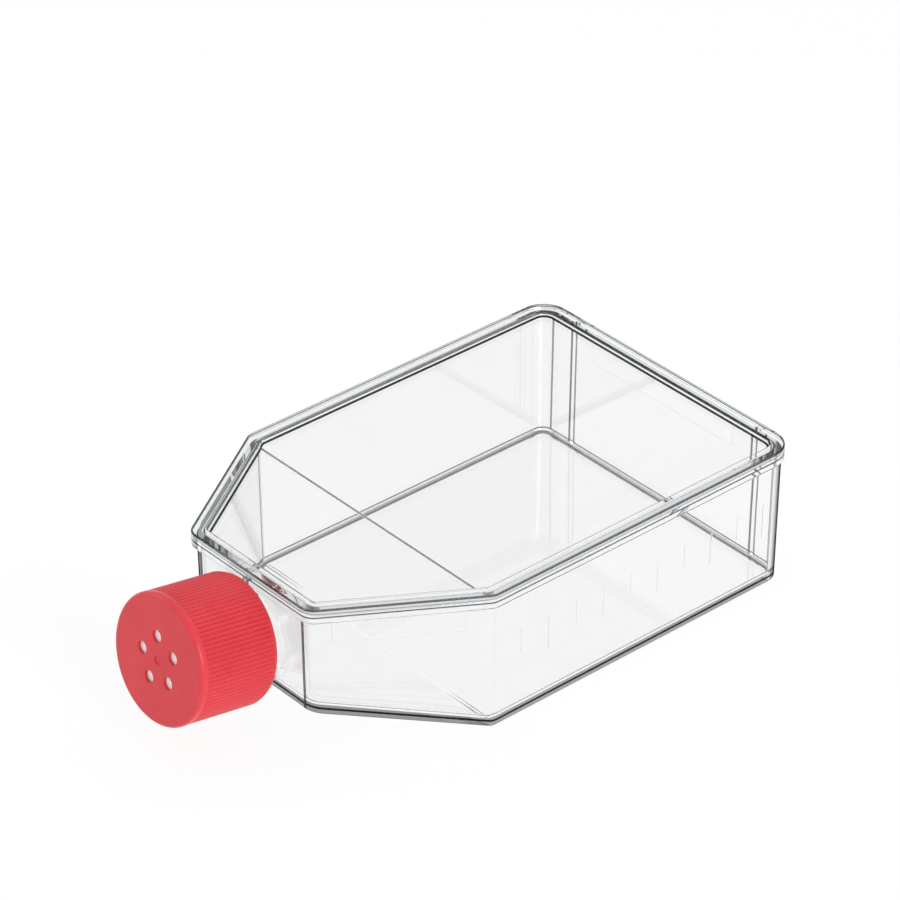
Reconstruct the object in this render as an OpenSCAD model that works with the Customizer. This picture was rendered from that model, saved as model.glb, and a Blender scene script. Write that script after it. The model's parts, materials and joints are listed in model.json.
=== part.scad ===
// Vented cell culture flask: a welded clear polystyrene box with a sloping neck,
// closed by a knurled screw cap that vents through a membrane.
// +Z is up, the neck points to -Y, and the origin lies on the standing surface
// under the middle of the whole flask.

/* [Flask body] */
// Width over the rim flange
flask_w = 86; // [76:1:110]
// Height from the standing surface to the top of the stacking rim
flask_h = 36.7; // [34:0.1:50]
// Length of the straight-sided part, from the shoulder line to the rear rim edge
straight_l = 92.4; // [60:0.1:140]
// Length of the tapering shoulders, from the front rim edge to the shoulder line
shoulder_l = 35.1; // [25:0.1:50]
// Width of the front rim edge, above the neck
front_w = 41.3; // [38:0.1:60]
// Corner radius at the rear of the rim flange
rear_corner_r = 6.8; // [5:0.1:14]
// Corner radius of the rim flange at the shoulders and beside the neck
front_corner_r = 4; // [3:0.1:6]
// Radius round the upright corners of the walls
wall_corner_r = 5; // [4:0.1:6]
// Thickness of the side walls
wall_t = 1.7; // [1.2:0.1:2.2]
// Thickness of the culture floor
floor_t = 1.2; // [1:0.1:2.2]
// How far the walls lean in from the rim down to the floor
wall_draft = 0.4; // [0.3:0.1:1.5]
// Outer radius between the floor and the walls
floor_edge_r = 0.5; // [0.4:0.1:1.5]
// Inner fillet between the floor and the walls
floor_fillet_r = 1.7; // [0.8:0.1:2]
// Height gained by the sloping floor between the shoulder line and the front wall
ramp_rise = 8.1; // [6:0.1:9]
// Distance of the rear wall's two upright ribs from the sides of the rim
rear_rib_in = 12.1; // [9:0.1:20]
// Width of the rear wall's ribs
rear_rib_w = 1.7; // [1:0.1:3]
// How far the rear wall's ribs stand out of it
rear_rib_relief = 0.7; // [0.3:0.1:0.8]
// Height of the raised panels on the shoulders and the rear wall
panel_h = 5.8; // [4:0.1:8]
// How far the raised panels stand out of the walls
panel_relief = 0.2; // [0.15:0.05:0.4]

/* [Rim and cover] */
// Overhang of the rim flange outside the walls
rim_overhang = 1; // [0.8:0.1:2.5]
// Thickness of the body's half of the welded flange
body_flange_t = 1.7; // [1.2:0.1:2.5]
// Height of the cover's half of the flange, up to the stacking rim
cover_rim_h = 2; // [1.6:0.1:3]
// Width of the raised stacking rim around the cover
stacking_rim_w = 3.7; // [3.6:0.1:7]
// Depth of the cover plate below the stacking rim
plate_recess = 1.5; // [0.8:0.1:1.6]
// Extra depth of the cover plate in front of the shoulder line
shoulder_step = 0.4; // [0.2:0.1:0.6]
// Thickness of the cover plate
plate_t = 0.9; // [0.8:0.1:2]
// Least depth of the cover's locating foot below the weld
locating_h = 0.3; // [0.2:0.1:1]
// Clearance between the cover's locating foot and the walls
cover_fit = 0.3; // [0.25:0.05:0.4]

/* [Graduation] */
// Spacing of the graduation marks along the side wall
mark_pitch = 8.3; // [6:0.1:10]
// Number of graduation marks
mark_count = 10; // [4:1:10]
// Height of the short graduation marks
mark_h = 6; // [4:0.5:8]
// Height that every second mark has more
mark_extra_h = 3; // [1:0.5:4]
// Width of a graduation mark
mark_w = 0.5; // [0.3:0.1:1]
// How far the marks stand out of the wall
mark_relief = 0.1; // [0.05:0.05:0.3]

/* [Neck] */
// Upward tilt of the neck
neck_tilt = 10.2; // [8:0.1:12]
// Height of the neck's axis below the front rim edge, from the standing surface
neck_z = 19.9; // [19.6:0.1:21]
// Outside radius of the neck at the root of its thread
neck_r = 11.7; // [11.2:0.1:12]
// Radius of the neck's bore
neck_bore_r = 9.8; // [9:0.1:10.2]
// Pitch of the screw thread
thread_pitch = 4; // [3.6:0.1:5]
// Height of the thread ridges on the neck and in the cap
thread_depth = 1; // [0.8:0.1:1.2]
// Width of a thread ridge at its foot
thread_w = 1.5; // [1.2:0.1:1.7]
// Turns of thread on the neck
neck_turns = 1.5; // [1:0.25:1.5]
// Turns of thread in the cap
cap_turns = 1.25; // [1:0.25:1.25]
// Clearance between neck and cap, at the ridge tips
thread_fit = 0.4; // [0.3:0.05:0.5]

/* [Screw cap] */
// Outside radius of the cap over its ribs
cap_r = 15.4; // [15:0.1:17]
// Length of the cap
cap_l = 21.6; // [20:0.1:24]
// Gap along the neck between the front rim edge and the cap's open edge
cap_gap = 4.2; // [3.8:0.1:6]
// Thickness of the cap's end face
cap_face_t = 0.9; // [0.8:0.1:1.5]
// Radius round the edge of the cap's end face
cap_edge_r = 1.1; // [0.6:0.1:1.4]
// Number of grip ribs
rib_count = 92; // [60:1:100]
// Height of the grip ribs
rib_h = 0.35; // [0.25:0.05:0.45]
// Smooth band between the end face and the ribs
front_band = 1.9; // [1.6:0.1:3]
// Smooth band between the ribs and the open edge
rear_band = 0.9; // [0.6:0.1:2]
// Number of vent holes
vent_count = 5; // [3:1:6]
// Radius of a vent hole
vent_r = 1.55; // [1:0.05:2]
// Radius of the circle of vent holes
vent_circle_r = 5.6; // [5:0.1:6]
// Turn of the first vent hole from the +X side
vent_turn = 30.7; // [0:0.1:72]
// Radius of the moulding gate mark in the middle of the end face
gate_r = 1.1; // [0.8:0.1:1.5]

/* [Vent and seal] */
// Thickness of the vent membrane
membrane_t = 0.3; // [0.2:0.05:0.5]
// Radius of the vent membrane
membrane_r = 11; // [9.5:0.1:11.5]
// Thickness of the sealing ring
seal_t = 1.5; // [1:0.1:2]
// Inner radius of the sealing ring
seal_bore_r = 8.5; // [8:0.1:8.8]
// Clearance between the sealing ring and the cap's bore
seal_fit = 0.3; // [0.2:0.05:0.4]

/* [Hidden] */
$fn = 96;
eps = 0.01;

// Facets per corner of the plan outline, in the order front, shoulder, rear
corner_steps = [6, 6, 8];
edge_steps = 4;
// Smallest radius that an inset corner keeps
corner_min_r = 1.2;

// Heights of the rim
seam_z = flask_h - cover_rim_h;
flange_z = seam_z - body_flange_t;
plate_z = flask_h - plate_recess;
wall_slope = wall_draft / flange_z;
wall_lean = atan(wall_slope);
// How far the foot of the walls lies inside the rim flange
foot_in = rim_overhang + wall_draft;
// How far the part of the cover that sits between the walls lies inside the flange
plug_in = rim_overhang + wall_t + cover_fit;
// Distance of the rear wall's panel from its ribs
panel_gap = 6;

// Lengths along the neck's axis, from the front rim edge outwards
cap_open_s = cap_gap;
cap_face_s = cap_gap + cap_l;
membrane_s = cap_face_s - cap_face_t - membrane_t;
seal_s = membrane_s - seal_t;
lip_s = seal_s;
lip_edge = 0.5;
neck_root_s = -8;
cap_bore_r = neck_r + thread_depth + thread_fit;
ridge_sink = 0.4;
gate_depth = 0.25;
// Step between the ribs and the smooth bands in front of and behind them
band_step = 0.06;
crest_w = thread_w / 2;
thread_step = 12;
// The neck's thread ends one ridge below the lip, and the cap's lies half a pitch behind it
neck_thread_s = lip_s - 2.6 - neck_turns * thread_pitch;
cap_thread_s = neck_thread_s - thread_pitch / 2;

// The middle of the whole flask along Y, seen from the shoulder line
cap_tip_y = -shoulder_l - (cap_face_s - cap_edge_r) * cos(neck_tilt)
    - (cap_r - cap_edge_r) * sin(neck_tilt) - cap_edge_r;
mid_y = (straight_l + cap_tip_y) / 2;

// ---- plan outline ----

// Headings of the right-hand edges: front, shoulder, side, rear
shoulder_heading = atan2(shoulder_l, (flask_w - front_w) / 2);
headings = [0, shoulder_heading, 90, 180];
corners = [
    [front_w / 2, -shoulder_l],
    [flask_w / 2, 0],
    [flask_w / 2, straight_l]
];
corner_rs = [front_corner_r, front_corner_r, rear_corner_r];

function inward(h) = [-sin(h), cos(h)];

// Corner k moved in by d, so that both of its edges move in by d
function corner_in(k, d) =
    let (n0 = inward(headings[k]), n1 = inward(headings[k + 1]))
    corners[k] + d * (n0 + n1) / (1 + n0 * n1);

// The rounded corner k of the outline inset by d, which walls follow inside the rim
function corner_arc(k, d, wall) =
    let (
        r = max(wall ? wall_corner_r + rim_overhang - d : corner_rs[k] - d, corner_min_r),
        mid = corner_in(k, d + r),
        turn = headings[k + 1] - headings[k]
    )
    [for (i = [0:corner_steps[k]]) mid - r * inward(headings[k] + turn * i / corner_steps[k])];

function right_side(d, wall) = [for (k = [0:2]) each corner_arc(k, d, wall)];

function flip(p) = [for (i = [len(p) - 1:-1:0]) [-p[i][0], p[i][1]]];

// The whole outline inset by d, anticlockwise from the front edge
function outline(d, wall = false) = concat(right_side(d, wall), flip(right_side(d, wall)));

// Index of the vertex on the shoulder line, on the right and on the left
side_count = corner_steps[0] + corner_steps[1] + corner_steps[2] + 3;
crease_right = corner_steps[0] + 1 + corner_steps[1] / 2;
crease_left = 2 * side_count - 1 - crease_right;

// ---- shell ----

// One ring of a shell: the outline inset by d at height z, raised in front of the
// shoulder line by share times the rise of the sloping floor
function ring(d, z, share) =
    let (
        plan = outline(d, true),
        crease_y = plan[crease_right][1],
        run = crease_y + shoulder_l - d
    )
    [for (p = plan) [p[0], p[1], z + share * ramp_rise * max(0, crease_y - p[1]) / run]];

function arc_rings(d, z, r) =
    [for (i = [0:edge_steps])
        let (a = 90 * i / edge_steps)
        ring(d + r * (1 - sin(a)), z + r * (1 - cos(a)), 1)];

// A solid through a stack of rings, whose lowest face is creased on the shoulder line
module loft(rings) {
    n = 2 * side_count;
    last = (len(rings) - 1) * n;
    walls = [
        for (k = [0:len(rings) - 2], i = [0:n - 1])
            let (
                a = k * n + i,
                b = k * n + (i + 1) % n
            )
            each [[a, a + n, b], [b, a + n, b + n]]
    ];
    rear_floor = [for (i = [crease_right:crease_left]) i];
    ramp = concat([for (i = [crease_left:n - 1]) i], [for (i = [0:crease_right]) i]);
    top = [for (i = [n - 1:-1:0]) last + i];
    polyhedron([for (r = rings) each r], concat(walls, [rear_floor, ramp, top]));
}

module slab(d, z0, z1, wall = false) {
    translate([0, 0, z0])
        linear_extrude(z1 - z0)
            polygon(outline(d, wall));
}

module body_block() {
    loft(concat(
        arc_rings(foot_in, 0, floor_edge_r),
        [ring(rim_overhang, flange_z + eps, 0)]
    ));
}

module chamber() {
    floor_in = foot_in + wall_t;
    top_z = seam_z + 1;
    loft(concat(
        arc_rings(floor_in, floor_t, floor_fillet_r),
        [ring(floor_in - wall_slope * top_z, top_z, 0)]
    ));
}

// ---- neck ----

// Puts a child on the neck's axis, with its +Z pointing out of the neck
module on_neck() {
    translate([0, -shoulder_l, neck_z])
        rotate([90 - neck_tilt, 0, 0])
            children();
}

module neck_outside() {
    on_neck()
        rotate_extrude()
            polygon([
                [0, neck_root_s],
                [neck_r, neck_root_s],
                [neck_r, lip_s - lip_edge],
                [neck_r - lip_edge, lip_s],
                [0, lip_s]
            ]);
}

// Everything under the sloping floor, from the foot of the front wall backwards
module under_ramp() {
    flat_in = foot_in + floor_edge_r;
    crease_y = outline(flat_in, true)[crease_right][1];
    slope = ramp_rise / (crease_y + shoulder_l - flat_in);
    foot_y = foot_in - shoulder_l;
    rotate([90, 0, 90])
        linear_extrude(4 * neck_r, center = true)
            polygon([
                [foot_y, -neck_r],
                [crease_y, -neck_r],
                [crease_y, 0],
                [foot_y, slope * (crease_y - foot_y)]
            ]);
}

// One point row of a ridge: its foot is sunk into the wall it stands on, and at
// share 0, where the ridge ends, its crest is below the wall's face too
function ridge_row(r, side, share, a, s) =
    let (crest = share * (thread_depth + ridge_sink / 2) - ridge_sink / 2)
    [for (q = [
        [r - side * ridge_sink, -thread_w / 2],
        [r + side * crest, -crest_w / 2],
        [r + side * crest, crest_w / 2],
        [r - side * ridge_sink, thread_w / 2]
    ])
    [q[0] * cos(a), q[0] * sin(a), s + q[1]]
];

// A right-hand screw ridge on radius r, standing out (side 1) or in (side -1)
module thread(r, side, turns, s0) {
    steps = ceil(360 * turns / thread_step);
    fade = 3;
    rows = [
        for (i = [0:steps])
            let (
                share = min(1, i / fade, (steps - i) / fade),
                a = 360 * turns * i / steps
            )
            ridge_row(r, side, share, a, s0 + thread_pitch * a / 360)
    ];
    walls = [
        for (i = [0:steps - 1], j = [0:3])
            let (
                a = 4 * i + j,
                b = 4 * i + (j + 1) % 4
            )
            each [[a, b, a + 4], [b, b + 4, a + 4]]
    ];
    ends = [[3, 2, 1, 0], [for (j = [0:3]) 4 * steps + j]];
    faces = concat(walls, ends);
    points = [for (row = rows) each row];
    polyhedron(points, side < 0 ? [for (f = faces) [for (i = [len(f) - 1:-1:0]) f[i]]] : faces);
}

module neck_bore() {
    on_neck() {
        bore_from = -(foot_in + wall_t) - 2;
        translate([0, 0, bore_from])
            cylinder(r = neck_bore_r, h = lip_s - bore_from + 1);
    }
}

// ---- relief on the walls ----

// A bar that stands out of the wall behind corner k: it starts at from along the wall
// and at top above the flange's underside, and is run long and h high
module wall_bar(k, from, run, top, h, relief) {
    start = corner_in(k, rim_overhang);
    translate([start[0], start[1], flange_z])
        rotate([wall_lean, 0, headings[k + 1]])
            translate([from, -relief, top - h])
                cube([run, wall_t / 2 + relief, h]);
}

// Raised marks that start near the shoulder line and climb down the +X wall
module graduation() {
    for (i = [0:mark_count - 1])
        wall_bar(1, 8.2 + i * mark_pitch, mark_w, -10, mark_h + (i % 2) * mark_extra_h, mark_relief);
}

// Raised panels hanging from the rim flange, and the two upright ribs of the rear wall
module wall_relief() {
    into_rim = body_flange_t / 2;
    shoulder_run = norm(corner_in(1, rim_overhang) - corner_in(0, rim_overhang));
    rear_run = flask_w - 2 * rim_overhang;
    rib_from = rear_rib_in - rim_overhang - rear_rib_w / 2;
    panel_from = rib_from + rear_rib_w + panel_gap;
    rib_h = flange_z - floor_edge_r;
    for (side = [0, 1])
        mirror([side, 0, 0]) {
            wall_bar(0, wall_corner_r, shoulder_run - 2 * wall_corner_r - 1,
                into_rim, panel_h + into_rim, panel_relief);
            wall_bar(2, rib_from, rear_rib_w, into_rim, rib_h + into_rim, rear_rib_relief);
        }
    wall_bar(2, panel_from, rear_run - 2 * panel_from, into_rim, panel_h + into_rim, panel_relief);
}

// ---- parts ----

// The moulded tray: floor, walls, rim flange, graduation and threaded neck in one
module flask_body() {
    color([0.9, 0.93, 0.95, 0.4])
        translate([0, -mid_y, 0])
            difference() {
                union() {
                    body_block();
                    slab(0, flange_z, seam_z);
                    graduation();
                    wall_relief();
                    difference() {
                        neck_outside();
                        under_ramp();
                    }
                    on_neck()
                        thread(neck_r, 1, neck_turns, neck_thread_s);
                }
                chamber();
                neck_bore();
            }
}

// The welded cover: flange, stacking rim and sunk plate, whose foot sits between the walls
module cover() {
    under_z = min(plate_z - plate_t, seam_z - locating_h);
    in_front = [2 * flask_w, 2 * shoulder_l];
    color([0.92, 0.94, 0.96, 0.4])
        translate([0, -mid_y, 0]) {
            difference() {
                union() {
                    slab(0, seam_z, flask_h);
                    slab(plug_in, under_z, seam_z + eps, true);
                    intersection() {
                        slab(plug_in, under_z - shoulder_step, seam_z, true);
                        translate([-in_front[0] / 2, -in_front[1], 0])
                            cube([in_front[0], in_front[1], flask_h]);
                    }
                }
                slab(stacking_rim_w, plate_z, flask_h + 1);
                intersection() {
                    slab(stacking_rim_w, plate_z - shoulder_step, flask_h + 1);
                    translate([-in_front[0] / 2, -in_front[1], 0])
                        cube([in_front[0], in_front[1], flask_h + 2]);
                }
            }
        }
}

// The rib zone in cross-section: a wheel of rib_count flat-topped ribs
module rib_wheel() {
    step = 360 / rib_count;
    crest_r = cap_r - band_step;
    root_r = crest_r - rib_h;
    polygon([
        for (i = [0:rib_count - 1], q = [[-0.4, root_r], [-0.1, crest_r], [0.15, crest_r], [0.45, root_r]])
            q[1] * [cos((i + q[0]) * step), sin((i + q[0]) * step)]
    ]);
}

module cap_outside() {
    ribs_from = cap_open_s + rear_band;
    ribs_to = cap_face_s - front_band;
    translate([0, 0, cap_open_s])
        cylinder(r = cap_r - rib_h - 2 * band_step, h = rear_band + eps);
    translate([0, 0, ribs_from])
        linear_extrude(ribs_to - ribs_from)
            rib_wheel();
    translate([0, 0, ribs_to - eps])
        rotate_extrude() {
            square([cap_r - cap_edge_r, front_band + eps]);
            square([cap_r, front_band + eps - cap_edge_r]);
            translate([cap_r - cap_edge_r, front_band + eps - cap_edge_r])
                circle(cap_edge_r, $fn = 32);
        }
}

module screw_cap() {
    color([0.9, 0.26, 0.3])
        translate([0, -mid_y, 0])
            on_neck() {
                difference() {
                    cap_outside();
                    translate([0, 0, cap_open_s - 1])
                        cylinder(r = cap_bore_r, h = cap_l - cap_face_t + 1);
                    for (i = [0:vent_count - 1])
                        rotate(vent_turn + 360 * i / vent_count)
                            translate([vent_circle_r, 0, cap_face_s - cap_face_t - 1])
                                cylinder(r = vent_r, h = cap_face_t + 2);
                    translate([0, 0, cap_face_s - gate_depth])
                        cylinder(r = gate_r, h = 1);
                }
                thread(cap_bore_r, -1, cap_turns, cap_thread_s);
            }
}

module vent_membrane() {
    color([0.97, 0.97, 0.96])
        translate([0, -mid_y, 0])
            on_neck()
                translate([0, 0, membrane_s])
                    cylinder(r = membrane_r, h = membrane_t);
}

module sealing_ring() {
    color([0.95, 0.95, 0.93])
        translate([0, -mid_y, 0])
            on_neck()
                translate([0, 0, seal_s])
                    difference() {
                        cylinder(r = cap_bore_r - seal_fit, h = seal_t);
                        translate([0, 0, -1])
                            cylinder(r = seal_bore_r, h = seal_t + 2);
                    }
}

flask_body();
cover();
screw_cap();
vent_membrane();
sealing_ring();
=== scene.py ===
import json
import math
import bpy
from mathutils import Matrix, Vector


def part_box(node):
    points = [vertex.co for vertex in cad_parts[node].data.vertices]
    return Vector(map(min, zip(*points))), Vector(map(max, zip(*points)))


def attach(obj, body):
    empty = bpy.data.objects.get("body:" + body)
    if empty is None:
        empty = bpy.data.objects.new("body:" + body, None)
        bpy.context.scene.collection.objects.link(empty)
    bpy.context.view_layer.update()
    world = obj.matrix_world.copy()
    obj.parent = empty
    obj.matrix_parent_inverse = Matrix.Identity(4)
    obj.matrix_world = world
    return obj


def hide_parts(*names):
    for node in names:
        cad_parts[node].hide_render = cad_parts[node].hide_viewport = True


bl_info = {
    "name": "Cell Culture Flask",
    "version": (1, 0, 0),
    "blender": (4, 5, 0),
    "location": "View3D > Sidebar > Flask",
    "description": "Dresses and lights a clear culture flask with a vented screw cap",
    "category": "Object",
}

from collections import namedtuple

import bpy
from mathutils import Vector

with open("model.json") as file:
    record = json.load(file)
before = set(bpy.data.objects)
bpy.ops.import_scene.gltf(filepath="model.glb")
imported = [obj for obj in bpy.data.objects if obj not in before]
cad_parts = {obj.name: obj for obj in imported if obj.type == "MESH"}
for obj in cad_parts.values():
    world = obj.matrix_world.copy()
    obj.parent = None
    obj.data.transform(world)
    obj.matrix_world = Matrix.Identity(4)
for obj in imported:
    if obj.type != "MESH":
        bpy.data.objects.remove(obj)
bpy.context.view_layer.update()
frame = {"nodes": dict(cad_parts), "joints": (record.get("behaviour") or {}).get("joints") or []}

MM = 0.001
# Points nearer than MERGE are one point, and what is nearer than TOUCH to a plane lies on it
MERGE = 0.002 * MM
TOUCH = 0.01 * MM
# An edge that turns by more than SHARP is sharp, and the crease in the floor turns by more
# than CREASED
SHARP = math.radians(32)
CREASED = math.radians(8)
# Facets across a small edge radius and across a larger one
FEW_FACETS, MORE_FACETS = 2, 3

# The point where the neck's axis passes under the front edge of the rim
NECK_POINT = Vector(next(j for j in frame["joints"] if j["name"] == "cap_turn")["pos_m"])
# The body reaches furthest to the side with its flange, between its underside and the weld
SIDE_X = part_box("flask_body")[1].x
BODY_POINTS = [v.co for v in frame["nodes"]["flask_body"].data.vertices]
SIDE_HEIGHTS = [p.z for p in BODY_POINTS if p.x > SIDE_X - TOUCH]
FLANGE_Z, SEAM_Z = min(SIDE_HEIGHTS), max(SIDE_HEIGHTS)
RIM_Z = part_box("cover")[1].z
REAR_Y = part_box("flask_body")[1].y
# Below this height an edge belongs to the walls, the neck or the foot, and not to the flange
UNDER_FLANGE_Z = FLANGE_Z - 0.1 * MM
# The rear wall's two upright ribs stand further from the middle than this
RIBS_FROM_X = 0.66 * SIDE_X
# What is nearer to the cap than this, and no further from the middle, is the neck
NECK_FROM_Y = NECK_POINT.y + 4.5 * MM
NECK_REACH_X = 16 * MM
# The floor is flat behind FLAT_FROM_Y and rises by RAMP_SLOPE towards the front wall, whose
# foot is the lowest of what lies beside the neck
FLAT_FROM_Y = min(p.y for p in BODY_POINTS if p.z < MERGE)
RAMP_END = min(
    (p for p in BODY_POINTS if p.y < NECK_POINT.y + 6 * MM and abs(p.x) > 15 * MM),
    key=lambda p: p.z,
)
RAMP_SLOPE = RAMP_END.z / (FLAT_FROM_Y - RAMP_END.y)
# How far from the shoulder line an edge may lie and still belong to it
SHOULDER_REACH = 1.5 * MM
# A point inside the rim's outline, seen from above
INSIDE = Vector((0, REAR_Y / 4, 0))

# Slots of the clear pieces' materials, in the order of BODY_KINDS and COVER_KINDS: both
# pieces have the first three, the body has the next five after them, and the cover the
# last two
# Each slot but WELD carries its own amount of painted shade
FACE, EDGE, WELD = range(3)
WALL, CORNER, FLOOR_CORNER, CREASE, RIB = range(3, 8)
INNER_EDGE, PALE_EDGE = range(3, 5)

Edge = namedtuple("Edge", "index middle outside inward")


# ---------------------------------------------------------------- small helpers


def linear(hex_colour):
    """Turns an sRGB hex colour, such as "#cb363f", to a linear RGBA tuple."""
    values = [int(hex_colour[i : i + 2], 16) / 255 for i in (1, 3, 5)]
    channels = [v / 12.92 if v <= 0.04045 else ((v + 0.055) / 1.055) ** 2.4 for v in values]
    return (*channels, 1.0)


def deselect_all():
    """Leaves object mode with nothing selected, as every operator below expects."""
    if bpy.context.object and bpy.context.object.mode != "OBJECT":
        bpy.ops.object.mode_set(mode="OBJECT")
    bpy.ops.object.select_all(action="DESELECT")


def pick(piece):
    """Makes piece the only selected object and the active one."""
    deselect_all()
    piece.select_set(True)
    bpy.context.view_layer.objects.active = piece


def copy_of_node(node, name, halved):
    """A merged copy of a CAD node's mesh, as a new piece at the origin.

    Flat faces are made whole again. If halved, they stay cut at the middle plane, so
    that a face which runs round the whole part never closes on itself.
    """
    one_plane = math.radians(0.5)
    source = frame["nodes"][node]
    piece = bpy.data.objects.new(name, source.data.copy())
    bpy.context.scene.collection.objects.link(piece)
    piece.data.name = name
    piece.data.materials.clear()
    pick(piece)
    bpy.ops.object.mode_set(mode="EDIT")
    bpy.ops.mesh.select_all(action="SELECT")
    bpy.ops.mesh.customdata_custom_splitnormals_clear()
    bpy.ops.mesh.remove_doubles(threshold=MERGE)
    if halved:
        bpy.ops.mesh.bisect(plane_co=(0, 0, 0), plane_no=(1, 0, 0), threshold=MERGE)
        bpy.ops.mesh.mark_seam()
    bpy.ops.mesh.select_all(action="SELECT")
    bpy.ops.mesh.dissolve_limited(angle_limit=one_plane, delimit={"NORMAL", "SEAM"})
    bpy.ops.object.mode_set(mode="OBJECT")
    return piece


def edges_over(mesh, least):
    """Each edge of a mesh where it turns by more than the least angle.

    An outside edge is a ridge and not a groove, and an inward one bounds a wall that
    faces the middle of the part.
    """
    sides = {}
    for face in mesh.polygons:
        corners = list(face.vertices)
        for start, end in zip(corners, corners[1:] + corners[:1]):
            sides.setdefault((min(start, end), max(start, end)), []).append((face, start, end))
    found = []
    for edge in mesh.edges:
        pair = sides.get(edge.key, [])
        if len(pair) != 2:
            continue
        (face, start, end), (other, _, _) = pair
        if face.normal.angle(other.normal, 0) < least:
            continue
        a, b = mesh.vertices[start].co, mesh.vertices[end].co
        middle = (a + b) / 2
        outside = face.normal.cross(other.normal).dot(b - a) > 0
        wall = min(face, other, key=lambda side: abs(side.normal.z))
        out = middle - INSIDE
        inward = wall.normal.x * out.x + wall.normal.y * out.y < 0
        found.append(Edge(edge.index, middle, outside, inward))
    return found


def round_edges(piece, width, segments, slot, chosen, least=SHARP):
    """Bevels the sharp edges that chosen picks by width, in the material of a slot."""
    mesh = piece.data
    picked = [edge.index for edge in edges_over(mesh, least) if chosen(edge)]
    if not picked:
        raise RuntimeError("no edge to round on " + piece.name)
    pick(piece)
    bpy.ops.object.mode_set(mode="EDIT")
    bpy.ops.mesh.select_mode(type="EDGE")
    bpy.ops.mesh.select_all(action="DESELECT")
    bpy.ops.object.mode_set(mode="OBJECT")
    for index in picked:
        mesh.edges[index].select = True
    bpy.ops.object.mode_set(mode="EDIT")
    bpy.ops.mesh.bevel(
        offset=width, segments=segments, affect="EDGES", clamp_overlap=False, material=slot
    )
    bpy.ops.object.mode_set(mode="OBJECT")


def bevel_all(piece, width, segments):
    """Rounds every sharp edge of the piece by width, or less where there is no room."""
    pick(piece)
    bevel = piece.modifiers.new("edge_radius", "BEVEL")
    bevel.width = width
    bevel.segments = segments
    bevel.limit_method = "ANGLE"
    bevel.angle_limit = SHARP
    bevel.use_clamp_overlap = True
    bpy.ops.object.modifier_apply(modifier=bevel.name)


def at_weld(point):
    """Whether a point lies at the height where body and cover are welded."""
    return abs(point.z - SEAM_Z) < TOUCH


def fuse_weld(piece):
    """Gives the faces that lie on the weld between body and cover their own material."""
    for face in piece.data.polygons:
        if at_weld(face.center) and abs(face.normal.z) > 0.99:
            face.material_index = WELD


def weld_edge(edge):
    """Whether an edge is one of the two outer ones that meet at the weld."""
    return edge.outside and at_weld(edge.middle)


def at_neck(point):
    """Whether a point belongs to the neck or its root."""
    return point.y < NECK_FROM_Y and abs(point.x) < NECK_REACH_X


def heading(face):
    """The way a face looks, seen from above, as an angle from +X."""
    return math.atan2(face.normal.y, face.normal.x)


def looks_out(face):
    """Whether a face of a wall looks away from the middle of the part."""
    out = face.center - INSIDE
    return face.normal.x * out.x + face.normal.y * out.y > 0


def mark_walls(piece):
    """Sorts the faces of the tray's walls and foot into their slots, each with its own painted
    shade.
    """
    wide = 50 * MM * MM
    upright = [f for f in piece.data.polygons if abs(f.normal.z) < 0.3 and f.center.z < FLANGE_Z]
    flat = [heading(f) for f in upright if f.area > wide]
    for face in upright:
        if face.area < wide and at_neck(face.center):
            continue
        from_flat = min(abs(math.remainder(heading(face) - other, math.tau)) for other in flat)
        from_front = abs(math.remainder(heading(face) + math.pi / 2, math.tau))
        if from_flat > math.radians(2):
            # The strip of the two front corners that meets the front wall gets the darkest
            # painted shade
            face.material_index = EDGE if from_front < math.radians(12) else CORNER
        elif looks_out(face):
            face.material_index = WALL
    foot_z = 0.4 * FLANGE_Z
    for face in piece.data.polygons:
        if at_neck(face.center) or face.center.z > foot_z:
            continue
        if 0.75 < face.normal.z < 0.9:
            # The strip of the inner fillet that looks up at the cover, with painted shade where
            # it is seen across the flask
            face.material_index = FLOOR_CORNER
        elif -0.9 < face.normal.z < -0.3:
            # The rounded outer edge between walls and floor, painted dark
            face.material_index = EDGE


def smooth(piece):
    """Shades the piece smooth but for sharp edges, with normals led by the large faces."""
    pick(piece)
    bpy.ops.object.shade_smooth_by_angle(angle=SHARP)
    weighted = piece.modifiers.new("face_normals", "WEIGHTED_NORMAL")
    weighted.keep_sharp = True
    bpy.ops.object.modifier_apply(modifier=weighted.name)


# ---------------------------------------------------------------- materials


def new_material(name):
    """An empty node material and its tree."""
    material = bpy.data.materials.new(name)
    material.use_nodes = True
    material.node_tree.nodes.clear()
    return material, material.node_tree


def add_node(tree, kind, settings=None, links=None):
    """Adds a node, sets its inputs or properties, and links its inputs to sockets."""
    node = tree.nodes.new(kind)
    for key, value in (settings or {}).items():
        if isinstance(key, int) or key in node.inputs:
            node.inputs[key].default_value = value
        else:
            setattr(node, key, value)
    for key, socket in (links or {}).items():
        tree.links.new(socket, node.inputs[key])
    return node


# How much painted shade a kind of face gets, from 0 to 1, as a dark transparent layer
# mixed into the plastic: head_on where it is seen straight on and along where it is seen
# along, with the change between two shares of that turn. The function that adds the
# painted shade says what the three marks after that do
PaintedShade = namedtuple(
    "PaintedShade",
    "head_on along since until foot_line far_only near_walls",
    defaults=(False, False, False),
)
FLAT_PAINTED_SHADE = PaintedShade(0.0, 0.15, 0.62, 1.0)
WALL_PAINTED_SHADE = PaintedShade(0.0, 0.15, 0.62, 1.0, foot_line=True)
EDGE_PAINTED_SHADE = PaintedShade(0.75, 0.95, 0.2, 1.0)
CORNER_PAINTED_SHADE = PaintedShade(0.0, 0.95, 0.42, 0.75, foot_line=True)
FLOOR_CORNER_PAINTED_SHADE = PaintedShade(0.75, 0.85, 0.2, 1.0, far_only=True)
CREASE_PAINTED_SHADE = PaintedShade(0.85, 0.95, 0.2, 1.0, near_walls=True)
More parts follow.
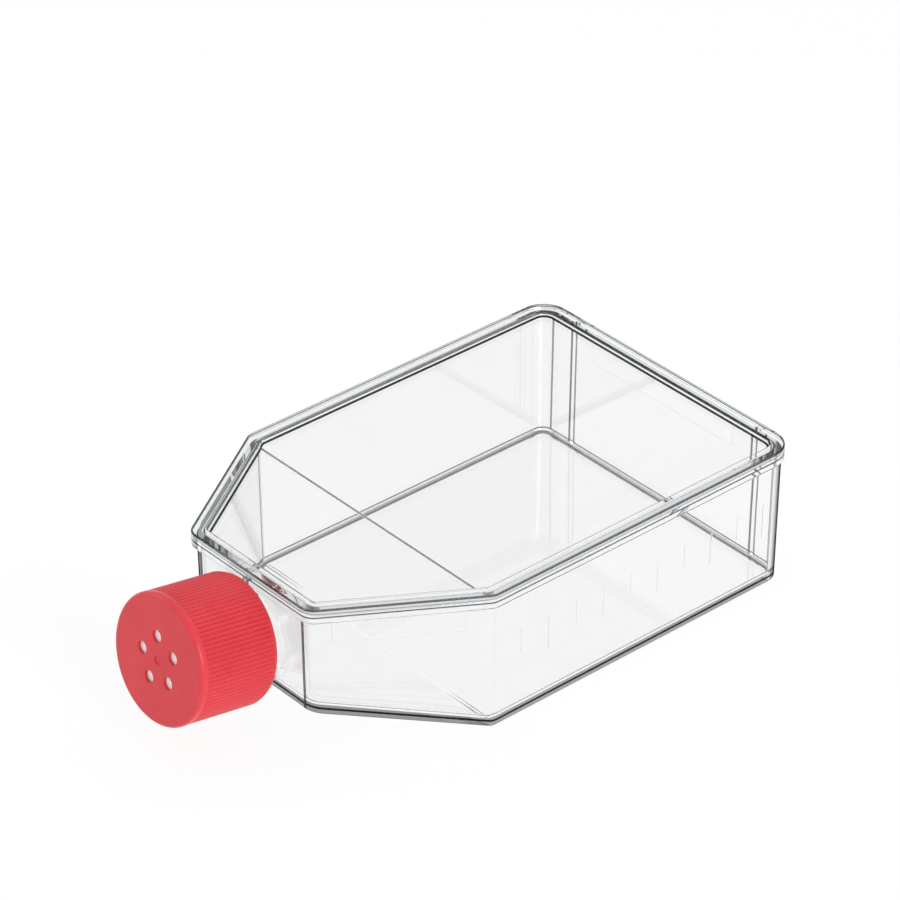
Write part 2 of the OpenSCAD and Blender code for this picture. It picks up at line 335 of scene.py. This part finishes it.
RIB_PAINTED_SHADE = PaintedShade(0.95, 0.98, 0.2, 1.0)
INNER_EDGE_PAINTED_SHADE = PaintedShade(0.9, 0.97, 0.2, 1.0)
PALE_EDGE_PAINTED_SHADE = PaintedShade(0.62, 0.8, 0.2, 1.0)
# The materials of the clear pieces, copies of one polystyrene with different painted shade,
# and the painted shade of each; the weld has no face and gets no painted shade
BODY_KINDS = (
    ("clear_polystyrene_body", FLAT_PAINTED_SHADE),
    ("polystyrene_edges_of_body_painted_dark", EDGE_PAINTED_SHADE),
    ("fused_polystyrene_of_body", None),
    ("polystyrene_walls_of_body_painted_shade", WALL_PAINTED_SHADE),
    ("polystyrene_corners_of_body_painted_dark", CORNER_PAINTED_SHADE),
    ("polystyrene_floor_corners_painted_dark", FLOOR_CORNER_PAINTED_SHADE),
    ("polystyrene_floor_crease_painted_dark", CREASE_PAINTED_SHADE),
    ("polystyrene_rear_ribs_painted_dark", RIB_PAINTED_SHADE),
)
COVER_KINDS = (
    ("clear_polystyrene_cover", FLAT_PAINTED_SHADE),
    ("polystyrene_edges_of_cover_painted_dark", EDGE_PAINTED_SHADE),
    ("fused_polystyrene_of_cover", None),
    ("polystyrene_inner_edges_painted_dark", INNER_EDGE_PAINTED_SHADE),
    ("polystyrene_pale_edges_painted_shade", PALE_EDGE_PAINTED_SHADE),
)
# Length of the flow waves in the walls of the body and of the cover
BODY_WAVE, COVER_WAVE = 14 * MM, 17 * MM
# The painted dark line on the walls that stands for the floor's edge seen through them: its
# height above the foot, half its width, and its darkness
PAINTED_FOOT_LINE_Z = 1.55 * MM
PAINTED_FOOT_LINE_HALF_W = 0.3 * MM
PAINTED_FOOT_LINE_DARKNESS = 0.95
# The painted shade on the crease in the floor fades in between these distances from the middle
CREASE_FADE_X = (0.58 * SIDE_X, 0.78 * SIDE_X)
# Light that has passed into plastic more often than this comes from across the flask, and
# where light was mirrored inside it more often than this, it is spent and a painted glow
# takes its place
ACROSS_DEPTH = 1.5
SPENT_DEPTH = 3.5
# The painted glow that stands for light piped inside a wall is grey from the foot up to one
# share of PALE_Z, and pale from another share on
PALE_Z = 20 * MM
PAINTED_GLOW_GREY, PAINTED_GLOW_GREY_UNTIL = "#9a9da0", 0.15
PAINTED_GLOW_PALE, PAINTED_GLOW_PALE_SINCE = "#e0e2e4", 0.8


def add_painted_foot_line(tree, split, shade_share):
    """Adds to the painted shade a thin painted dark line low on the walls, standing for the
    floor's edge seen through them.

    The line follows the foot, flat behind the shoulder line and rising in front of it.
    It has its own height, which is lower than refraction alone would put it.
    """
    forward = add_node(
        tree,
        "ShaderNodeMath",
        {"operation": "SUBTRACT", 0: FLAT_FROM_Y, "use_clamp": True},
        {1: split.outputs["Y"]},
    )
    foot = add_node(
        tree, "ShaderNodeMath", {"operation": "MULTIPLY", 1: RAMP_SLOPE}, {0: forward.outputs[0]}
    )
    above = add_node(
        tree,
        "ShaderNodeMath",
        {"operation": "SUBTRACT"},
        {0: split.outputs["Z"], 1: foot.outputs[0]},
    )
    on_line = add_node(
        tree,
        "ShaderNodeMath",
        {"operation": "COMPARE", 1: PAINTED_FOOT_LINE_Z, 2: PAINTED_FOOT_LINE_HALF_W},
        {0: above.outputs[0]},
    )
    dark = add_node(
        tree,
        "ShaderNodeMath",
        {"operation": "MULTIPLY", 1: PAINTED_FOOT_LINE_DARKNESS},
        {0: on_line.outputs[0]},
    )
    return add_node(
        tree,
        "ShaderNodeMath",
        {"operation": "MAXIMUM"},
        {0: shade_share.outputs[0], 1: dark.outputs[0]},
    )


def fade_from_walls(tree, split, shade_share):
    """Lets the painted shade fade out from the side walls to the middle of the part."""
    away = add_node(tree, "ShaderNodeMath", {"operation": "ABSOLUTE"}, {0: split.outputs["X"]})
    share = add_node(
        tree,
        "ShaderNodeMapRange",
        {"From Min": CREASE_FADE_X[0], "From Max": CREASE_FADE_X[1]},
        {"Value": away.outputs[0]},
    )
    return add_node(
        tree,
        "ShaderNodeMath",
        {"operation": "MULTIPLY"},
        {0: shade_share.outputs[0], 1: share.outputs["Result"]},
    )


def add_painted_shade(tree, split, across, painted_shade):
    """The share of painted shade that a face gets, by the turn it is seen at and by its place.

    The walls also get a painted dark line for the floor's edge, the floor's corners get
    painted shade only where they are seen across the flask, and the crease in the floor only
    near the walls.
    """
    along = add_node(tree, "ShaderNodeLayerWeight", {"Blend": 0.5})
    shade_share = add_node(tree, "ShaderNodeValToRGB", {}, {"Fac": along.outputs["Facing"]})
    shade_share.color_ramp.elements[0].position = painted_shade.since
    shade_share.color_ramp.elements[0].color = (painted_shade.head_on, painted_shade.head_on, painted_shade.head_on, 1)
    shade_share.color_ramp.elements[1].position = painted_shade.until
    shade_share.color_ramp.elements[1].color = (painted_shade.along, painted_shade.along, painted_shade.along, 1)
    if painted_shade.foot_line:
        shade_share = add_painted_foot_line(tree, split, shade_share)
    if painted_shade.near_walls:
        shade_share = fade_from_walls(tree, split, shade_share)
    if painted_shade.far_only:
        shade_share = add_node(
            tree,
            "ShaderNodeMath",
            {"operation": "MULTIPLY"},
            {0: shade_share.outputs[0], 1: across.outputs[0]},
        )
    return shade_share


def add_painted_glow(tree, split, across):
    """A painted glow for light piped along inside a wall: grey at the foot, pale at the rim and
    across the flask.
    """
    height = add_node(
        tree,
        "ShaderNodeMath",
        {"operation": "DIVIDE", 1: PALE_Z},
        {0: split.outputs["Z"]},
    )
    paleness = add_node(
        tree,
        "ShaderNodeMath",
        {"operation": "MAXIMUM"},
        {0: height.outputs[0], 1: across.outputs[0]},
    )
    glow = add_node(tree, "ShaderNodeValToRGB", {}, {"Fac": paleness.outputs[0]})
    glow.color_ramp.elements[0].position = PAINTED_GLOW_GREY_UNTIL
    glow.color_ramp.elements[0].color = linear(PAINTED_GLOW_GREY)
    glow.color_ramp.elements[1].position = PAINTED_GLOW_PALE_SINCE
    glow.color_ramp.elements[1].color = linear(PAINTED_GLOW_PALE)
    return add_node(
        tree, "ShaderNodeEmission", {"Strength": 1.0}, {"Color": glow.outputs["Color"]}
    )


def clear_moulded_polystyrene(name, tint, painted_shade, wave):
    """General-purpose polystyrene, injection moulded and polished clear.

    IOR 1.59 gives the strong edge lines, and very shallow flow waves, about 15 mm long,
    keep the flat walls from looking like cut glass. Painted shade, a dark transparent
    layer mixed in by the turn a face is seen at, is light on a flat wall and heaviest on a
    rounded edge, standing in for the dark of the room that an edge gathers, so edges are
    painted as grey and near-black lines. Lamps shine through the plastic, and it leaves
    only a light shadow. Where light is mirrored on and on inside a wall, past where the
    renderer gives up, a painted glow in grey or pale takes its place, so it is not black.
    """
    material, tree = new_material(name)
    material.cycles.emission_sampling = "NONE"
    place = add_node(tree, "ShaderNodeTexCoord")
    split = add_node(tree, "ShaderNodeSeparateXYZ", {}, {0: place.outputs["Object"]})
    ray = add_node(tree, "ShaderNodeLightPath")
    across = add_node(
        tree,
        "ShaderNodeMath",
        {"operation": "GREATER_THAN", 1: ACROSS_DEPTH},
        {0: ray.outputs["Transmission Depth"]},
    )
    spent = add_node(
        tree,
        "ShaderNodeMath",
        {"operation": "GREATER_THAN", 1: SPENT_DEPTH},
        {0: ray.outputs["Glossy Depth"]},
    )
    waves = add_node(
        tree,
        "ShaderNodeTexNoise",
        {"Scale": 1 / wave, "Detail": 1.0, "Roughness": 0.4},
        {"Vector": place.outputs["Object"]},
    )
    bump = add_node(
        tree,
        "ShaderNodeBump",
        {"Strength": 0.05, "Distance": 0.2 * MM},
        {"Height": waves.outputs["Fac"]},
    )
    plastic = add_node(
        tree,
        "ShaderNodeBsdfPrincipled",
        {
            "Base Color": linear(tint),
            "Transmission Weight": 1.0,
            "IOR": 1.59,
            "Roughness": 0.015,
        },
        {"Normal": bump.outputs["Normal"]},
    )
    # A near-black transparent layer: painted shade, mixed in by the share worked out next
    painted_dark = add_node(tree, "ShaderNodeBsdfTransparent", {"Color": linear("#1b1d20")})
    shade_share = add_painted_shade(tree, split, across, painted_shade)
    shaded = add_node(
        tree,
        "ShaderNodeMixShader",
        {},
        {0: shade_share.outputs[0], 1: plastic.outputs[0], 2: painted_dark.outputs[0]},
    )
    lamps_through = add_node(tree, "ShaderNodeBsdfTransparent", {"Color": linear("#f9faf9")})
    lit = add_node(
        tree,
        "ShaderNodeMixShader",
        {},
        {0: ray.outputs["Is Shadow Ray"], 1: shaded.outputs[0], 2: lamps_through.outputs[0]},
    )
    # Painted glow where the renderer stops following light mirrored inside the walls
    painted_glow = add_painted_glow(tree, split, across)
    surface = add_node(
        tree,
        "ShaderNodeMixShader",
        {},
        {0: spent.outputs[0], 1: lit.outputs[0], 2: painted_glow.outputs[0]},
    )
    add_node(tree, "ShaderNodeOutputMaterial", {}, {"Surface": surface.outputs[0]})
    return material


def fused_polystyrene(name):
    """Polystyrene fused in the weld, where body and cover have run into one.

    Light crosses it as if no face were there but for the faintest haze, and only the
    rounded edges of the two flanges, painted dark, draw the weld line.
    """
    material, tree = new_material(name)
    place = add_node(tree, "ShaderNodeTexCoord")
    haze = add_node(
        tree,
        "ShaderNodeTexNoise",
        {"Scale": 1 / (3 * MM), "Detail": 2.0},
        {"Vector": place.outputs["Object"]},
    )
    shade = add_node(tree, "ShaderNodeValToRGB", {}, {"Fac": haze.outputs["Fac"]})
    shade.color_ramp.elements[0].color = linear("#f6f8f9")
    shade.color_ramp.elements[1].color = linear("#ffffff")
    clear = add_node(tree, "ShaderNodeBsdfTransparent", {}, {"Color": shade.outputs["Color"]})
    add_node(tree, "ShaderNodeOutputMaterial", {}, {"Surface": clear.outputs[0]})
    return material


def red_moulded_polyethylene(name, colour, pale):
    """High-density polyethylene, injection moulded in red masterbatch.

    Slightly translucent, so light softens its ribs, with a semi-gloss skin, faint
    colour streaks from the masterbatch and a fine moulded grain.
    """
    material, tree = new_material(name)
    place = add_node(tree, "ShaderNodeTexCoord")
    streaks = add_node(
        tree,
        "ShaderNodeTexNoise",
        {"Scale": 1 / (9 * MM), "Detail": 3.0, "Roughness": 0.6},
        {"Vector": place.outputs["Object"]},
    )
    shade = add_node(tree, "ShaderNodeValToRGB", {}, {"Fac": streaks.outputs["Fac"]})
    shade.color_ramp.elements[0].position = 0.3
    shade.color_ramp.elements[0].color = linear(colour)
    shade.color_ramp.elements[1].position = 0.75
    shade.color_ramp.elements[1].color = linear(pale)
    grain = add_node(
        tree,
        "ShaderNodeTexNoise",
        {"Scale": 1 / (0.35 * MM), "Detail": 2.0},
        {"Vector": place.outputs["Object"]},
    )
    bump = add_node(
        tree,
        "ShaderNodeBump",
        {"Strength": 0.12, "Distance": 0.05 * MM},
        {"Height": grain.outputs["Fac"]},
    )
    plastic = add_node(
        tree,
        "ShaderNodeBsdfPrincipled",
        {
            "IOR": 1.5,
            "Specular IOR Level": 0.28,
            "Roughness": 0.3,
            "Subsurface Weight": 0.12,
            "Subsurface Scale": 0.6 * MM,
        },
        {"Base Color": shade.outputs["Color"], "Normal": bump.outputs["Normal"]},
    )
    add_node(tree, "ShaderNodeOutputMaterial", {}, {"Surface": plastic.outputs[0]})
    return material


def porous_membrane(name, colour, shaded):
    """Expanded fluoropolymer membrane, 0.2 micrometre pores: dead matt and white.

    The real pores are far too fine to show, so the fibre mottle is drawn at 0.25 mm. The
    sealing ring, hidden in the cap, has the same matt surface in its own warmer white.
    """
    material, tree = new_material(name)
    place = add_node(tree, "ShaderNodeTexCoord")
    fibres = add_node(
        tree,
        "ShaderNodeTexNoise",
        {"Scale": 1 / (0.25 * MM), "Detail": 4.0, "Roughness": 0.7},
        {"Vector": place.outputs["Object"]},
    )
    shade = add_node(tree, "ShaderNodeValToRGB", {}, {"Fac": fibres.outputs["Fac"]})
    shade.color_ramp.elements[0].color = linear(shaded)
    shade.color_ramp.elements[1].color = linear(colour)
    bump = add_node(
        tree,
        "ShaderNodeBump",
        {"Strength": 0.3, "Distance": 0.03 * MM},
        {"Height": fibres.outputs["Fac"]},
    )
    film = add_node(
        tree,
        "ShaderNodeBsdfPrincipled",
        {"IOR": 1.38, "Roughness": 0.85},
        {"Base Color": shade.outputs["Color"], "Normal": bump.outputs["Normal"]},
    )
    add_node(tree, "ShaderNodeOutputMaterial", {}, {"Surface": film.outputs[0]})
    return material


# ---------------------------------------------------------------- settings


class FlaskSizes(bpy.types.PropertyGroup):
    """Edge radii of the dressed pieces."""

    rim_edge: bpy.props.FloatProperty(
        name="Rim edge radius",
        description="Radius on the outside edges of the rim flange",
        default=0.4 * MM,
        unit="LENGTH",
    )
    rim_inside: bpy.props.FloatProperty(
        name="Rim inside edge radius",
        description="Radius on the edge of the stacking rim that faces the cover plate",
        default=0.4 * MM,
        unit="LENGTH",
    )
    flange_edge: bpy.props.FloatProperty(
        name="Flange edge radius",
        description="Radius on the flange's lower edge, less than the ribs' room under it",
        default=0.2 * MM,
        unit="LENGTH",
    )
    weld_edge: bpy.props.FloatProperty(
        name="Weld edge radius",
        description="Radius on the two flange edges that meet at the weld and draw its line",
        default=0.2 * MM,
        unit="LENGTH",
    )
    neck_edge: bpy.props.FloatProperty(
        name="Neck edge radius",
        description="Radius on the thread, the lip and the root of the neck",
        default=0.12 * MM,
        unit="LENGTH",
    )
    relief_edge: bpy.props.FloatProperty(
        name="Relief edge radius",
        description="Radius on the graduation and the raised panels",
        default=0.08 * MM,
        unit="LENGTH",
    )
    rib_edge: bpy.props.FloatProperty(
        name="Rear rib edge radius",
        description="Radius on the crests of the rear wall's two upright ribs",
        default=0.36 * MM,
        unit="LENGTH",
    )
    rim_foot: bpy.props.FloatProperty(
        name="Rim foot radius",
        description="Hollow radius where the stacking rim rises from the cover plate",
        default=0.4 * MM,
        unit="LENGTH",
    )
    step_foot: bpy.props.FloatProperty(
        name="Step foot radius",
        description="Hollow radius of the step that crosses the cover plate",
        default=0.3 * MM,
        unit="LENGTH",
    )
    floor_crease: bpy.props.FloatProperty(
        name="Floor crease radius",
        description="Half width of the crease where the floor starts to rise",
        default=0.2 * MM,
        unit="LENGTH",
    )
    cap_edge: bpy.props.FloatProperty(
        name="Cap edge radius",
        description="Radius on the ribs and rims of the cap",
        default=0.07 * MM,
        unit="LENGTH",
    )


class FlaskColours(bpy.types.PropertyGroup):
    """Colours of the pieces, as sRGB hex values."""

    clear_tint: bpy.props.StringProperty(
        name="Clear plastic",
        description="Tint of the clear polystyrene, seen straight through",
        default="#fafafa",
    )
    cap_red: bpy.props.StringProperty(
        name="Cap red",
        description="Main colour of the screw cap",
        default="#cb363f",
    )
    cap_pale: bpy.props.StringProperty(
        name="Cap streak red",
        description="Paler red of the colour streaks in the cap",
        default="#d13d45",
    )


# ---------------------------------------------------------------- pieces


def add_clear_plastic(piece, kinds, wave):
    """Gives a piece the clear polystyrene, one material for each kind of place on it."""
    tint = bpy.context.scene.flask_colours.clear_tint
    for name, painted_shade in kinds:
        if painted_shade:
            piece.data.materials.append(clear_moulded_polystyrene(name, tint, painted_shade, wave))
        else:
            piece.data.materials.append(fused_polystyrene(name))


class FLASK_OT_clear_body(bpy.types.Operator):
    """Makes the clear moulded tray with its neck"""

    bl_idname = "flask.clear_body"
    bl_label = "Clear body"

    def execute(self, context):
        sizes = context.scene.flask_sizes
        piece = copy_of_node("flask_body", "clear_body", True)
        add_clear_plastic(piece, BODY_KINDS, BODY_WAVE)
        mark_walls(piece)
        front_y = NECK_POINT.y - MM
        rear_wall_y = REAR_Y - 1.5 * MM
        rib_foot_z = 5 * MM
        floor_z = 2 * MM

        def flange(edge):
            at_flange = UNDER_FLANGE_Z < edge.middle.z < SEAM_Z - 0.5 * MM
            return edge.outside and at_flange and edge.middle.y > front_y

        def neck(edge):
            below_rim = edge.middle.z < UNDER_FLANGE_Z
            return edge.outside and edge.middle.y < NECK_FROM_Y and below_rim

        def on_ribs(middle):
            return middle.y > rear_wall_y and abs(middle.x) > RIBS_FROM_X

        def rib(edge):
            upright = rib_foot_z < edge.middle.z < UNDER_FLANGE_Z
            return edge.outside and on_ribs(edge.middle) and upright

        def relief(edge):
            on_walls = edge.middle.y > NECK_FROM_Y and edge.middle.z < UNDER_FLANGE_Z
            return edge.outside and on_walls and not on_ribs(edge.middle)

        def crease(edge):
            # The long edges of the crease are halved, so their middles lie half way out
            half_way_out = abs(abs(edge.middle.x) - SIDE_X / 2) < 3 * MM
            at_shoulder = abs(edge.middle.y - FLAT_FROM_Y) < SHOULDER_REACH
            return half_way_out and edge.middle.z < floor_z and at_shoulder

        round_edges(piece, sizes.floor_crease, FEW_FACETS, CREASE, crease, CREASED)
        round_edges(piece, sizes.weld_edge, FEW_FACETS, EDGE, weld_edge)
        round_edges(piece, sizes.flange_edge, FEW_FACETS, FACE, flange)
        round_edges(piece, sizes.neck_edge, FEW_FACETS, EDGE, neck)
        round_edges(piece, sizes.relief_edge, FEW_FACETS, FACE, relief)
        round_edges(piece, sizes.rib_edge, MORE_FACETS, RIB, rib)
        smooth(piece)
        fuse_weld(piece)
        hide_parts("flask_body")
        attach(piece, "flask")
        return {"FINISHED"}


class FLASK_OT_clear_cover(bpy.types.Operator):
    """Makes the clear welded cover"""

    bl_idname = "flask.clear_cover"
    bl_label = "Clear cover"

    def execute(self, context):
        sizes = context.scene.flask_sizes
        piece = copy_of_node("cover", "clear_cover", True)
        add_clear_plastic(piece, COVER_KINDS, COVER_WAVE)
        rear_corners_y = REAR_Y - 8 * MM
        middle_x = 0.7 * SIDE_X

        def rim(edge):
            return edge.outside and edge.middle.z > RIM_Z - TOUCH and not edge.inward

        def rim_inside(edge):
            return edge.outside and edge.middle.z > RIM_Z - TOUCH and edge.inward

        def rear_rim_inside(edge):
            return rim_inside(edge) and edge.middle.y > rear_corners_y

        def hollow(edge):
            return not edge.outside and SEAM_Z < edge.middle.z < RIM_Z - 0.5 * MM

        def step(edge):
            at_shoulder = abs(edge.middle.y - FLAT_FROM_Y) < SHOULDER_REACH
            return hollow(edge) and abs(edge.middle.x) < middle_x and at_shoulder

        def rim_foot(edge):
            return hollow(edge) and not step(edge)

        round_edges(piece, sizes.rim_foot, MORE_FACETS, INNER_EDGE, rim_foot)
        round_edges(piece, sizes.step_foot, FEW_FACETS, PALE_EDGE, step)
        round_edges(piece, sizes.rim_edge, MORE_FACETS, EDGE, rim)
        round_edges(piece, sizes.rim_inside, MORE_FACETS, INNER_EDGE, rear_rim_inside)
        round_edges(piece, sizes.rim_inside, MORE_FACETS, PALE_EDGE, rim_inside)
        round_edges(piece, sizes.weld_edge, FEW_FACETS, EDGE, weld_edge)
        smooth(piece)
        fuse_weld(piece)
        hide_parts("cover")
        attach(piece, "flask")
        return {"FINISHED"}


class FLASK_OT_screw_cap(bpy.types.Operator):
    """Makes the red ribbed screw cap"""

    bl_idname = "flask.screw_cap"
    bl_label = "Screw cap"

    def execute(self, context):
        scene = context.scene
        piece = copy_of_node("screw_cap", "red_screw_cap", False)
        bevel_all(piece, scene.flask_sizes.cap_edge, FEW_FACETS)
        smooth(piece)
        colours = scene.flask_colours
        piece.data.materials.append(
            red_moulded_polyethylene("red_polyethylene", colours.cap_red, colours.cap_pale)
        )
        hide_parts("screw_cap")
        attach(piece, "cap")
        return {"FINISHED"}


class FLASK_OT_vent_and_seal(bpy.types.Operator):
    """Gives the vent membrane and the sealing ring their finishes"""

    bl_idname = "flask.vent_and_seal"
    bl_label = "Vent and seal"

    def execute(self, context):
        film = porous_membrane("porous_vent_film", "#fefefd", "#f4f3f1")
        seal = porous_membrane("natural_polyethylene_seal", "#e9e8e2", "#dedcd4")
        for node, material in (("vent_membrane", film), ("sealing_ring", seal)):
            slots = frame["nodes"][node].data.materials
            slots.clear()
            slots.append(material)
        return {"FINISHED"}


# ---------------------------------------------------------------- stage

# Side of the square floor in metres, and how far it lies under the foot, so that the two
# never share a plane
FLOOR_SIZE = 12
FLOOR_GAP = 0.02 * MM
# How white the floor shows to the camera and in clear plastic; the rest keeps the shadow
FLOOR_WHITE_SHARE = 0.88
# Brightness of the room: on matt surfaces, and in gloss and clear plastic, where it is white
# at the horizon and this grey from HORIZON_UNTIL up. To the camera it is white all over
ROOM_ON_MATT = 0.78
ROOM_IN_CLEAR = 0.9
HORIZON_UNTIL = 0.3
# Name, place, side in metres and power in watts of each lamp, and the point they aim at
LAMPS = (
    ("overhead_softbox", (-0.25, 0.15, 0.75), 0.7, 0.6),
    ("left_softbox", (-0.75, -0.5, 0.45), 0.5, 1.2),
    ("right_softbox", (0.85, -0.15, 0.45), 0.4, 4.6),
)
LAMP_TARGET = Vector((0, 0, 0.015))
# The camera looks at a point inside the flask from in front of it, to its right and above
CAMERA_AZIMUTH = math.radians(48.98)
CAMERA_ELEVATION = math.radians(33.16)
CAMERA_DISTANCE_MM = 1050.7
CAMERA_LENS = 175.9
CAMERA_TARGET = Vector((-34.8 * MM, NECK_POINT.y + 89.5 * MM, 12.9 * MM))


def grey(value):
    """A linear RGBA tuple of one brightness."""
    return (value, value, value, 1)


class FLASK_OT_stage(bpy.types.Operator):
    """Makes the pale floor, the studio light and the camera"""

    bl_idname = "flask.stage"
    bl_label = "Stage"

    def execute(self, context):
        self.floor()
        self.surroundings(context.scene)
        self.lamps(context.scene)
        self.camera(context.scene)
        return {"FINISHED"}

    def floor(self):
        """A sweep of white paper that keeps only a faint shadow of the flask."""
        deselect_all()
        bpy.ops.mesh.primitive_plane_add(size=FLOOR_SIZE, location=(0, 0, -FLOOR_GAP))
        plane = bpy.context.object
        plane.name = "studio_floor"
        material, tree = new_material("white_paper_sweep")
        ray = add_node(tree, "ShaderNodeLightPath")
        paper = add_node(tree, "ShaderNodeBsdfDiffuse", {"Color": linear("#fafafa")})
        white = add_node(tree, "ShaderNodeEmission", {"Color": grey(1), "Strength": 1.0})
        seen = add_node(
            tree,
            "ShaderNodeMath",
            {"operation": "MAXIMUM"},
            {0: ray.outputs["Is Camera Ray"], 1: ray.outputs["Is Glossy Ray"]},
        )
        seen_through = add_node(
            tree,
            "ShaderNodeMath",
            {"operation": "MAXIMUM"},
            {0: seen.outputs[0], 1: ray.outputs["Is Transmission Ray"]},
        )
        share = add_node(
            tree,
            "ShaderNodeMath",
            {"operation": "MULTIPLY", 1: FLOOR_WHITE_SHARE},
            {0: seen_through.outputs[0]},
        )
        mix = add_node(
            tree,
            "ShaderNodeMixShader",
            {},
            {0: share.outputs[0], 1: paper.outputs[0], 2: white.outputs[0]},
        )
        add_node(tree, "ShaderNodeOutputMaterial", {}, {"Surface": mix.outputs[0]})
        plane.data.materials.append(material)

    def surroundings(self, scene):
        """A white room for the camera, a little dimmer in plastic, and soft grey as light."""
        world = bpy.data.worlds.new("studio")
        scene.world = world
        world.use_nodes = True
        tree = world.node_tree
        tree.nodes.clear()
        ray = add_node(tree, "ShaderNodeLightPath")
        place = add_node(tree, "ShaderNodeTexCoord")
        split = add_node(tree, "ShaderNodeSeparateXYZ", {}, {0: place.outputs["Generated"]})
        room = add_node(tree, "ShaderNodeValToRGB", {}, {"Fac": split.outputs["Z"]})
        room.color_ramp.elements[0].position = 0.0
        room.color_ramp.elements[0].color = grey(1)
        room.color_ramp.elements[1].position = HORIZON_UNTIL
        room.color_ramp.elements[1].color = grey(ROOM_IN_CLEAR)
        on_matt = add_node(
            tree, "ShaderNodeBackground", {"Color": grey(ROOM_ON_MATT), "Strength": 1.0}
        )
        in_clear = add_node(
            tree, "ShaderNodeBackground", {"Strength": 1.0}, {"Color": room.outputs["Color"]}
        )
        white = add_node(tree, "ShaderNodeBackground", {"Color": grey(1), "Strength": 1.0})
        clear_ray = add_node(
            tree,
            "ShaderNodeMath",
            {"operation": "MAXIMUM"},
            {0: ray.outputs["Is Glossy Ray"], 1: ray.outputs["Is Transmission Ray"]},
        )
        lit = add_node(
            tree,
            "ShaderNodeMixShader",
            {},
            {0: clear_ray.outputs[0], 1: on_matt.outputs[0], 2: in_clear.outputs[0]},
        )
        mix = add_node(
            tree,
            "ShaderNodeMixShader",
            {},
            {0: ray.outputs["Is Camera Ray"], 1: lit.outputs[0], 2: white.outputs[0]},
        )
        add_node(tree, "ShaderNodeOutputWorld", {}, {"Surface": mix.outputs[0]})

    def lamps(self, scene):
        """Three soft square lamps round the flask."""
        for name, place, size, power in LAMPS:
            lamp = bpy.data.lights.new(name, "AREA")
            lamp.shape = "SQUARE"
            lamp.size = size
            lamp.energy = power
            body = bpy.data.objects.new(name, lamp)
            body.location = place
            aim = LAMP_TARGET - body.location
            body.rotation_euler = aim.to_track_quat("-Z", "Y").to_euler()
            scene.collection.objects.link(body)

    def camera(self, scene):
        """A long lens, and colours shown as they are written."""
        back = Vector(
            (
                math.sin(CAMERA_AZIMUTH) * math.cos(CAMERA_ELEVATION),
                -math.cos(CAMERA_AZIMUTH) * math.cos(CAMERA_ELEVATION),
                math.sin(CAMERA_ELEVATION),
            )
        )
        lens = bpy.data.cameras.new("camera")
        lens.sensor_width = 36
        lens.lens = CAMERA_LENS
        lens.clip_start = 0.01
        lens.clip_end = 50
        camera = bpy.data.objects.new("camera", lens)
        camera.location = CAMERA_TARGET + back * CAMERA_DISTANCE_MM * MM
        camera.rotation_mode = "QUATERNION"
        camera.rotation_quaternion = (-back).to_track_quat("-Z", "Y")
        scene.collection.objects.link(camera)
        scene.camera = camera
        scene.view_settings.view_transform = "Standard"


class FLASK_PT_panel(bpy.types.Panel):
    """Lists the flask's pieces, sizes and colours"""

    bl_idname = "FLASK_PT_panel"
    bl_label = "Culture flask"
    bl_space_type = "VIEW_3D"
    bl_region_type = "UI"
    bl_category = "Flask"

    def draw(self, context):
        layout = self.layout
        for group in (context.scene.flask_sizes, context.scene.flask_colours):
            box = layout.box()
            for key in group.__annotations__:
                box.prop(group, key)
        for operator in OPERATORS:
            layout.operator(operator.bl_idname)


OPERATORS = (
    FLASK_OT_clear_body,
    FLASK_OT_clear_cover,
    FLASK_OT_screw_cap,
    FLASK_OT_vent_and_seal,
    FLASK_OT_stage,
)
CLASSES = (FlaskSizes, FlaskColours) + OPERATORS + (FLASK_PT_panel,)


def register():
    for cls in CLASSES:
        bpy.utils.register_class(cls)
    bpy.types.Scene.flask_sizes = bpy.props.PointerProperty(type=FlaskSizes)
    bpy.types.Scene.flask_colours = bpy.props.PointerProperty(type=FlaskColours)


def unregister():
    del bpy.types.Scene.flask_colours
    del bpy.types.Scene.flask_sizes
    for cls in reversed(CLASSES):
        bpy.utils.unregister_class(cls)


def main():
    register()
    bpy.ops.flask.clear_body()
    bpy.ops.flask.clear_cover()
    bpy.ops.flask.screw_cap()
    bpy.ops.flask.vent_and_seal()
    bpy.ops.flask.stage()


if __name__ == "__main__":
    main()
